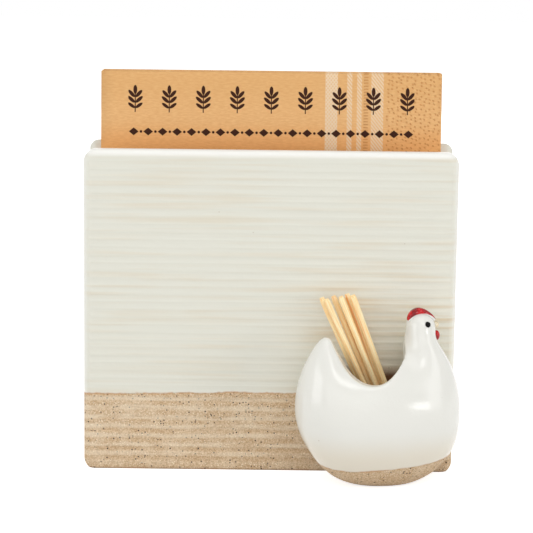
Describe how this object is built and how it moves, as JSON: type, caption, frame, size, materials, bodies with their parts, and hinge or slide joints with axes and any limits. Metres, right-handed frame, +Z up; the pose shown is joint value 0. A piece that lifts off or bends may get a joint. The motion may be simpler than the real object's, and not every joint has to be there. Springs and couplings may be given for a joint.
{
  "type": "napkin holder",
  "caption": "Stoneware napkin holder with two ribbed upright panels, a raised trough for folded paper napkins and a hen-shaped toothpick pocket on the front.",
  "frame": {"origin": "middle of the front panel's ground foot, on the table", "axes": "+X to the right along the front panel, +Y from the front panel to the back panel, +Z up"},
  "size_m": [0.1395, 0.0706, 0.1474],
  "materials": {
    "glazed_stoneware": "glossy off-white glaze over sandy stoneware, bare below the glaze line",
    "red_glaze": "glossy",
    "cream_glaze": "glossy",
    "black_glaze": "glossy",
    "kraft_paper": "matte printed tissue",
    "birch_wood": "bare, fine grain"
  },
  "bodies": {
    "holder": {"front_panel": "glazed_stoneware", "back_panel": "glazed_stoneware", "trough_floor": "glazed_stoneware", "hen_body": "glazed_stoneware", "hen_comb": "red_glaze", "hen_beak": "cream_glaze", "hen_wattle": "red_glaze", "hen_eyes": "black_glaze"},
    "napkin_1": {"napkin_1": "kraft_paper"},
    "napkin_2": {"napkin_2": "kraft_paper"},
    "napkin_3": {"napkin_3": "kraft_paper"},
    "napkin_4": {"napkin_4": "kraft_paper"},
    "napkin_5": {"napkin_5": "kraft_paper"},
    "napkin_6": {"napkin_6": "kraft_paper"},
    "toothpick_1": {"toothpick_1": "birch_wood"},
    "toothpick_2": {"toothpick_2": "birch_wood"},
    "toothpick_3": {"toothpick_3": "birch_wood"},
    "toothpick_4": {"toothpick_4": "birch_wood"},
    "toothpick_5": {"toothpick_5": "birch_wood"},
    "toothpick_6": {"toothpick_6": "birch_wood"}
  },
  "joints": [
    {"name": "napkin_1_lift", "type": "slide", "parent": "holder", "child": "napkin_1", "axis": [0, 0.0872, 0.9962], "range_m": [0, 0.105]},
    {"name": "napkin_2_lift", "type": "slide", "parent": "holder", "child": "napkin_2", "axis": [0, 0.0872, 0.9962], "range_m": [0, 0.105]},
    {"name": "napkin_3_lift", "type": "slide", "parent": "holder", "child": "napkin_3", "axis": [0, 0.0872, 0.9962], "range_m": [0, 0.105]},
    {"name": "napkin_4_lift", "type": "slide", "parent": "holder", "child": "napkin_4", "axis": [0, 0.0872, 0.9962], "range_m": [0, 0.105]},
    {"name": "napkin_5_lift", "type": "slide", "parent": "holder", "child": "napkin_5", "axis": [0, 0.0872, 0.9962], "range_m": [0, 0.105]},
    {"name": "napkin_6_lift", "type": "slide", "parent": "holder", "child": "napkin_6", "axis": [0, 0.0872, 0.9962], "range_m": [0, 0.105]},
    {"name": "toothpick_1_pull", "type": "slide", "parent": "holder", "child": "toothpick_1", "axis": [-0.4154, 0.0754, 0.9065], "range_m": [0, 0.042]},
    {"name": "toothpick_2_pull", "type": "slide", "parent": "holder", "child": "toothpick_2", "axis": [-0.4154, 0.0754, 0.9065], "range_m": [0, 0.042]},
    {"name": "toothpick_3_pull", "type": "slide", "parent": "holder", "child": "toothpick_3", "axis": [-0.3923, 0.0785, 0.9165], "range_m": [0, 0.042]},
    {"name": "toothpick_4_pull", "type": "slide", "parent": "holder", "child": "toothpick_4", "axis": [-0.3785, 0.0754, 0.9225], "range_m": [0, 0.042]},
    {"name": "toothpick_5_pull", "type": "slide", "parent": "holder", "child": "toothpick_5", "axis": [-0.36, 0.0754, 0.9299], "range_m": [0, 0.042]},
    {"name": "toothpick_6_pull", "type": "slide", "parent": "holder", "child": "toothpick_6", "axis": [-0.3554, 0.0754, 0.9317], "range_m": [0, 0.042]}
  ]
}
